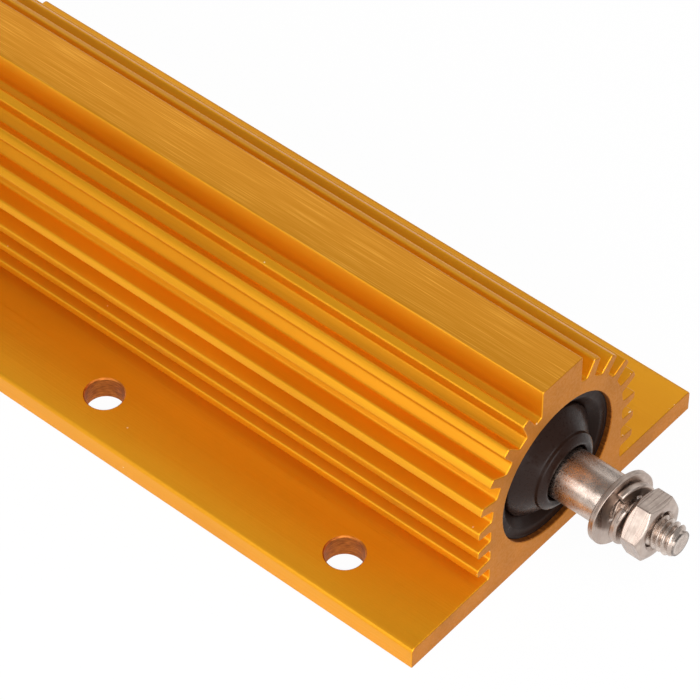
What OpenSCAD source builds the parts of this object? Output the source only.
/* [Housing] */
// Length of the extruded housing, saw cut to saw cut
body_l = 98; // [80:1:200]
// Width over both mounting flanges
body_w = 48; // [46:0.5:60]
// Height from the mounting face to the top of the marking block
body_h = 25.9; // [25:0.1:32]
// Thickness of the mounting flanges
flange_t = 3; // [2:0.1:3.8]
// Radius along the upper edges of the flanges
flange_edge_r = 0.5; // [0.1:0.1:1]
// Diameter of the bore that holds the resistance element
bore_d = 18.5; // [17:0.1:19]
// Height of the bore axis above the mounting face
bore_z = 11.3; // [11:0.1:12]
// Wall between the bore and the bottoms of the fin slots
wall_t = 1.95; // [1.2:0.05:2.4]
// Width of the marking block on top
block_w = 6.6; // [4:0.1:7]
// Radius along the top edges of the marking block
block_edge_r = 0.25; // [0.05:0.05:0.5]

/* [Fins] */
// Height of a fin above the slot bottoms
fin_h = 2.35; // [1:0.05:3]
// Width of a fin at its foot
fin_root_w = 1.5; // [1:0.05:1.6]
// Width of a fin at its tip
fin_tip_w = 1.1; // [0.6:0.05:1.4]
// How many fins fan out around the bore on each side
fan_fins = 5; // [3:1:5]
// Angle between two fins of the fan
fan_pitch = 15.6; // [14:0.1:15.6]
// Angle of the lowest fin of the fan above the horizontal
fan_start = 1.2; // [0:0.1:2.4]
// Height from one level side fin to the next
side_pitch = 3.03; // [2.8:0.01:3.1]
// How far the flat sides of the housing cut back the circle of the fin tips
side_trim = 0.3; // [0:0.05:0.6]
// Radius in the slot bottoms
slot_r = 0.35; // [0.1:0.05:0.5]
// Radius on the fin tips
tip_r = 0.25; // [0.1:0.05:0.4]

/* [Mounting holes] */
// Holes along each flange
holes_per_side = 3; // [2:1:3]
// Distance between neighbouring holes along a flange
hole_pitch = 35; // [20:0.5:38]
// Distance between the two rows of holes
hole_across = 37; // [35:0.5:39]
// Diameter of a mounting hole
hole_d = 4.5; // [3.4:0.1:5.5]
// Depth of the broken edge around a mounting hole
hole_break = 0.15; // [0.05:0.05:0.4]

/* [Resistance element] */
// Diameter of the ceramic core
core_d = 11; // [8:0.1:11.4]
// Room at each end, from the saw cut to the end of the ceramic core
end_room = 15; // [10:0.5:25]
// Thickness of the resistance wire
wire_d = 0.6; // [0.3:0.05:0.8]
// Turns of resistance wire
turns = 24; // [10:1:30]
// Sheet thickness of the end caps
cap_t = 0.5; // [0.3:0.05:0.8]
// How far an end cap reaches over the core
cap_grip = 5; // [3:0.1:8]

/* [End bushes] */
// Thickness of the bush disc that closes the bore
disc_t = 3; // [2:0.1:5]
// Depth of the bush disc below the saw cut
disc_depth = 3; // [2.2:0.1:5]
// Diameter of the bush cone at its foot
cone_d = 13.8; // [11.5:0.1:15]
// Depth below the saw cut at which the cone starts
cone_depth = 1.4; // [0.8:0.1:1.8]
// Diameter of the hub at the top of the cone
hub_d = 9.4; // [8.4:0.1:10.4]
// How far the hub rim stands out of the saw cut
hub_out = 1; // [0.4:0.1:2]
// Height of the raised step on the hub
hub_step = 0.5; // [0.2:0.1:1]
// Height of the straight rim on the hub
hub_rim = 0.5; // [0.2:0.1:0.8]
// Width of the flat land on the hub
hub_land = 0.3; // [0.1:0.05:0.5]
// Chamfer from the land down to the post
hub_dish = 0.3; // [0.1:0.05:0.4]
// Depth of the sealing compound below the saw cut
seal_depth = 0.75; // [0.4:0.05:1.2]
// Climb of the compound up the wall of the bore
seal_climb = 0.2; // [0.05:0.05:0.35]
// Further depth of the dip where the compound meets the cone
seal_dip = 1.1; // [0.6:0.1:1.8]

/* [Terminals] */
// Diameter of the plain terminal post
post_d = 6.2; // [5:0.1:7]
// How far the plain post stands out of the housing
post_out = 7.65; // [5:0.05:15]
// Outside diameter of the terminal thread
stud_d = 3.85; // [3:0.05:4.2]
// Length of the threaded end
stud_l = 8.7; // [8.2:0.1:14]
// Chamfer on the shoulder of the post
post_chamfer = 0.15; // [0.05:0.05:0.4]
// Diameter of the flat tip of the thread
tip_face_d = 2.9; // [2:0.1:2.9]
// Length of the taper at the tip of the thread
tip_taper = 0.8; // [0.2:0.1:1.5]
// Outside diameter of the flat washer
washer_d = 9.1; // [8:0.1:11]
// Thickness of the flat washer
washer_t = 0.7; // [0.4:0.05:1]
// Lean of the loose washers against the post
washer_lean = 7; // [0:0.5:8]
// Drop of the flat washer until it hangs on the thread
washer_drop = 0.15; // [0:0.05:0.15]
// Outside diameter of the spring washer
spring_d = 7.1; // [6.6:0.1:8]
// Thickness of the spring washer strip
spring_t = 0.95; // [0.6:0.05:1.1]
// Rise of the split spring washer from end to end
spring_rise = 1.3; // [0.6:0.05:1.4]
// Opening of the split in the spring washer, as an angle
spring_split = 12; // [4:1:20]
// Turn of the spring washer about the terminal
spring_turn = 210; // [0:5:355]
// Width across the flats of the nut
nut_af = 6.8; // [6.5:0.1:8]
// Height of the nut
nut_h = 2.75; // [2.4:0.05:3.2]
// Diameter of the flat end faces of the nut
nut_face_d = 6.3; // [5.6:0.1:6.8]
// Chamfer at both mouths of the nut thread
nut_mouth = 0.4; // [0.1:0.05:0.6]
// Turn of the nut about the terminal
nut_turn = 20; // [0:1:60]

/* [Fits] */
// Gap around pieces that slide into the bore or over the core
fit_gap = 0.05; // [0.02:0.01:0.15]
// Gap around the post in the hub
post_gap = 0.25; // [0.1:0.05:0.4]
// Gap between the thread and the nut
thread_gap = 0.15; // [0.1:0.01:0.25]
// Gap between the thread and the washers
washer_gap = 0.25; // [0.2:0.01:0.35]

/* [Hidden] */
$fn = 96;
eps = 0.01;
gold = "#D98A1E";
black = "#2E2624";
steel = "#C9BDB4";

// housing
bore_r = bore_d / 2;
root_r = bore_r + wall_t;
tip_rad = root_r + fin_h;
side_y = tip_rad - side_trim;
block_y = block_w / 2;
half_w = body_w / 2;
end_x = body_l / 2;
side_fins = max(0, floor((bore_z + root_r * sin(fan_start) - flange_t - fin_root_w) / side_pitch));
arc_steps = 4;

// terminal stack, measured outwards from the saw cut
washer_mid = post_out + (washer_t / 2) / cos(washer_lean) + post_d / 2 * tan(washer_lean);
washer_front = washer_mid + (washer_t / 2) / cos(washer_lean);
spring_mid = washer_front + (spring_t + spring_rise) / 2 / cos(washer_lean) + eps;
spring_steps = 44;
washer_hole_r = stud_d / 2 + washer_gap;
nut_in = spring_mid + eps + max([for (i = [0:spring_steps], r = [washer_hole_r, spring_d / 2])
    r * sin(spring_angle(i)) * sin(washer_lean) + (spring_lift(i) + spring_t) * cos(washer_lean)]);
nut_out = nut_in + nut_h;
stud_end = post_out + stud_l;
nut_corner_d = nut_af / cos(30);

// element, measured inwards from the saw cut
core_l = body_l - 2 * end_room;
disc_out = disc_depth;
disc_in = disc_depth + disc_t;
turn_steps = 24;
wind_r = (core_d / 2 + fit_gap + wire_d / 2) / cos(180 / turn_steps);
cap_in_r = core_d / 2 + fit_gap;
cap_out_r = cap_in_r + cap_t;
cap_face_x = core_l / 2 + fit_gap + cap_t;
post_in = end_x - cap_face_x;
cavity_r = max(cap_out_r, wind_r + wire_d / 2) + fit_gap;
wound_l = core_l - 2 * cap_grip - wire_d - 2 * fit_gap;
post_hole_r = post_d / 2 + post_gap;
neck_r = cone_d / 2;

// turn and height of the strip of the spring washer after step i, about its middle
function spring_angle(i) = spring_turn + spring_split / 2 + (360 - spring_split) * i / spring_steps;
function spring_lift(i) = spring_rise * (1 - i / spring_steps) - (spring_t + spring_rise) / 2;

// points of the arc that rounds corner b of the path a, b, c
function unit(v) = v / norm(v);
function arc_round(a, b, c, r, n) =
    let (u = unit(a - b), w = unit(c - b),
         half = acos(max(-1, min(1, u * w))) / 2,
         m = unit(u + w),
         centre = b + m * r / sin(half),
         p = b + u * r / tan(half) - centre,
         q = b + w * r / tan(half) - centre,
         from = atan2(p[1], p[0]),
         sweep = atan2(p[0] * q[1] - p[1] * q[0], p * q))
    [for (i = [0:n]) centre + r * [cos(from + sweep * i / n), sin(from + sweep * i / n)]];

// closed outline with every corner [point, radius] rounded
function rounded(path) =
    let (n = len(path))
    [for (i = [0:n - 1])
        let (b = path[i][0], r = path[i][1])
        each (r == 0 ? [b]
            : arc_round(path[(i + n - 1) % n][0], b, path[(i + 1) % n][0], r, arc_steps))];

// the four corners of one fin, from its lower foot to its upper foot
function fin(foot, along, across, reach_low, reach_high) =
    [[foot - across * fin_root_w / 2, slot_r],
     [foot + along * reach_low - across * fin_tip_w / 2, tip_r],
     [foot + along * reach_high + across * fin_tip_w / 2, tip_r],
     [foot + across * fin_root_w / 2, slot_r]];

function side_fin(k) =
    fin([root_r, bore_z + root_r * sin(fan_start) - (side_fins - k) * side_pitch],
        [1, 0], [0, 1], side_y - root_r, side_y - root_r);

// radial fins reach the tip circle, but never past the flat sides
function fan_fin(k) =
    let (a = fan_start + k * fan_pitch,
         along = [cos(a), sin(a)], across = [-sin(a), cos(a)],
         foot_r = sqrt(pow(root_r, 2) - pow(fin_root_w / 2, 2)),
         far_r = sqrt(pow(tip_rad, 2) - pow(fin_tip_w / 2, 2)),
         low = min(far_r, (side_y - sin(a) * fin_tip_w / 2) / cos(a)),
         high = min(far_r, (side_y + sin(a) * fin_tip_w / 2) / cos(a)))
    fin([0, bore_z] + along * foot_r, along, across, low - foot_r, high - foot_r);

half_path = concat(
    [[[half_w, 0], 0], [[half_w, flange_t], flange_edge_r], [[root_r, flange_t], slot_r]],
    [for (k = [0:1:side_fins - 1]) each side_fin(k)],
    [for (k = [0:fan_fins - 1]) each fan_fin(k)],
    [[[block_y, bore_z + sqrt(pow(root_r, 2) - pow(block_y, 2))], slot_r],
     [[block_y, body_h], block_edge_r]]);
full_path = concat(half_path,
    [for (i = [len(half_path) - 1:-1:0]) [[-half_path[i][0][0], half_path[i][0][1]], half_path[i][1]]]);

// lays a shape drawn about Z along the element axis, pointing to +X
module on_axis() {
    translate([0, 0, bore_z]) rotate([0, 90, 0]) children();
}

// puts a right-hand piece at its own end, or turned round at the left end
module at_end(side) {
    rotate([0, 0, side == "left" ? 180 : 0]) children();
}

module flange_hole() {
    translate([0, 0, -eps]) cylinder(d = hole_d, h = flange_t + 2 * eps);
    translate([0, 0, flange_t - hole_break])
        cylinder(d1 = hole_d, d2 = hole_d + 2 * hole_break + 2 * eps, h = hole_break + eps);
}

module housing() {
    color(gold) difference() {
        rotate([90, 0, 90]) linear_extrude(body_l, center = true) polygon(rounded(full_path));
        on_axis() cylinder(d = bore_d, h = body_l + 2, center = true);
        for (i = [0:holes_per_side - 1], side = [-1, 1])
            translate([(i - (holes_per_side - 1) / 2) * hole_pitch, side * hole_across / 2, 0])
                flange_hole();
    }
}

module ceramic_core() {
    color("ivory") on_axis() cylinder(d = core_d, h = core_l, center = true);
}

// wire wound in one helix round the core
module resistance_winding() {
    sides = 6;
    rings = turns * turn_steps;
    wire = [for (i = [0:rings], j = [0:sides - 1])
        let (a = 360 * i / turn_steps, b = 360 * j / sides,
             r = wind_r + wire_d / 2 * cos(b),
             z = wound_l * (i / rings - 0.5) + wire_d / 2 * sin(b))
        [r * cos(a), r * sin(a), z]];
    skin = [for (i = [0:rings - 1], j = [0:sides - 1])
        [i * sides + j, i * sides + (j + 1) % sides, (i + 1) * sides + (j + 1) % sides, (i + 1) * sides + j]];
    ends = [[for (j = [sides - 1:-1:0]) j], [for (j = [0:sides - 1]) rings * sides + j]];
    color("#8C8076") on_axis() polyhedron(wire, concat(skin, ends));
}

module end_cap(side) {
    color(steel) at_end(side) on_axis() difference() {
        translate([0, 0, cap_face_x - cap_t - cap_grip]) cylinder(r = cap_out_r, h = cap_grip + cap_t);
        translate([0, 0, cap_face_x - cap_t - cap_grip - eps]) cylinder(r = cap_in_r, h = cap_grip + eps);
    }
}

// packed round the wound core, from one bush to the other
module cement_filling() {
    length = body_l - 2 * disc_in - 2 * fit_gap;
    color("#C8C0B0") on_axis() difference() {
        cylinder(r = bore_r - fit_gap, h = length, center = true);
        cylinder(r = cavity_r, h = 2 * (cap_face_x + fit_gap), center = true);
        cylinder(r = post_d / 2 + fit_gap, h = length + 2, center = true);
    }
}

// one turned piece: plain post welded to the cap, then the threaded end
module terminal_post(side) {
    color(steel) at_end(side) on_axis() translate([0, 0, end_x]) rotate_extrude()
        polygon([[0, -post_in], [post_d / 2, -post_in], [post_d / 2, post_out - post_chamfer],
                 [post_d / 2 - post_chamfer, post_out], [stud_d / 2, post_out],
                 [stud_d / 2, stud_end - tip_taper], [tip_face_d / 2, stud_end], [0, stud_end]]);
}

// moulded bush: disc, neck, cone and stepped hub in one piece
module end_bush(side) {
    hub_r = hub_d / 2;
    color(black) at_end(side) on_axis() translate([0, 0, end_x]) rotate_extrude()
        polygon([[post_hole_r, -disc_in], [bore_r - fit_gap, -disc_in], [bore_r - fit_gap, -disc_out],
                 [neck_r, -disc_out], [neck_r, -cone_depth], [hub_r, hub_out - hub_rim], [hub_r, hub_out],
                 [post_hole_r + hub_dish + hub_land, hub_out + hub_step],
                 [post_hole_r + hub_dish, hub_out + hub_step],
                 [post_hole_r, hub_out + hub_step - hub_dish]]);
}

// compound cast into the gap between the bush neck and the bore
module sealing_ring(side) {
    inner = neck_r + fit_gap;
    outer = bore_r - fit_gap;
    color(black) at_end(side) on_axis() translate([0, 0, end_x]) rotate_extrude()
        polygon([[inner, -disc_out + eps], [outer, -disc_out + eps], [outer, -seal_depth + seal_climb],
                 [outer - seal_climb, -seal_depth], [(inner + outer) / 2, -seal_depth],
                 [inner, -seal_depth - seal_dip]]);
}

module flat_washer(side) {
    color(steel) at_end(side) on_axis() translate([washer_drop, 0, end_x + washer_mid])
        rotate([washer_lean, 0, 0]) difference() {
            cylinder(d = washer_d, h = washer_t, center = true);
            cylinder(r = washer_hole_r, h = washer_t + 2, center = true);
        }
}

// split ring of square strip that rises from one end to the other and lies on the flat washer
module spring_washer(side) {
    inner = washer_hole_r;
    outer = spring_d / 2;
    ring = [for (i = [0:spring_steps])
        let (a = spring_angle(i), z = spring_lift(i))
        each [[inner, z], [outer, z], [outer, z + spring_t], [inner, z + spring_t]]
            * [[cos(a), sin(a), 0], [0, 0, 1]]];
    skin = [for (i = [0:spring_steps - 1], j = [0:3])
        [i * 4 + j, i * 4 + (j + 1) % 4, (i + 1) * 4 + (j + 1) % 4, (i + 1) * 4 + j]];
    ends = [[3, 2, 1, 0], [for (j = [0:3]) spring_steps * 4 + j]];
    color(steel) at_end(side) on_axis() translate([0, 0, end_x + spring_mid])
        rotate([washer_lean, 0, 0]) polyhedron(ring, concat(skin, ends));
}

// hexagon with both ends turned to a 30 degree chamfer
module hex_nut(side) {
    lift = (nut_corner_d - nut_face_d) / 2 * tan(30);
    hole_r = stud_d / 2 + thread_gap;
    color(steel) at_end(side) on_axis() translate([0, 0, end_x + nut_in])
        rotate([0, 0, nut_turn]) difference() {
            intersection() {
                cylinder(d = nut_corner_d, h = nut_h, $fn = 6);
                rotate_extrude() polygon([[0, 0], [nut_face_d / 2, 0], [nut_corner_d / 2, lift],
                    [nut_corner_d / 2, nut_h - lift], [nut_face_d / 2, nut_h], [0, nut_h]]);
            }
            translate([0, 0, -eps]) cylinder(r = hole_r, h = nut_h + 2 * eps);
            translate([0, 0, nut_h - nut_mouth])
                cylinder(r1 = hole_r, r2 = hole_r + nut_mouth + eps, h = nut_mouth + eps);
            translate([0, 0, -eps])
                cylinder(r1 = hole_r + nut_mouth + eps, r2 = hole_r, h = nut_mouth + eps);
        }
}

housing();
cement_filling();
ceramic_core();
resistance_winding();
end_cap("right");  // end_cap_right
end_cap("left");  // end_cap_left
terminal_post("right");  // terminal_post_right
terminal_post("left");  // terminal_post_left
end_bush("right");  // end_bush_right
end_bush("left");  // end_bush_left
sealing_ring("right");  // sealing_ring_right
sealing_ring("left");  // sealing_ring_left
flat_washer("right");  // flat_washer_right
flat_washer("left");  // flat_washer_left
spring_washer("right");  // spring_washer_right
spring_washer("left");  // spring_washer_left
hex_nut("right");  // hex_nut_right
hex_nut("left");  // hex_nut_left
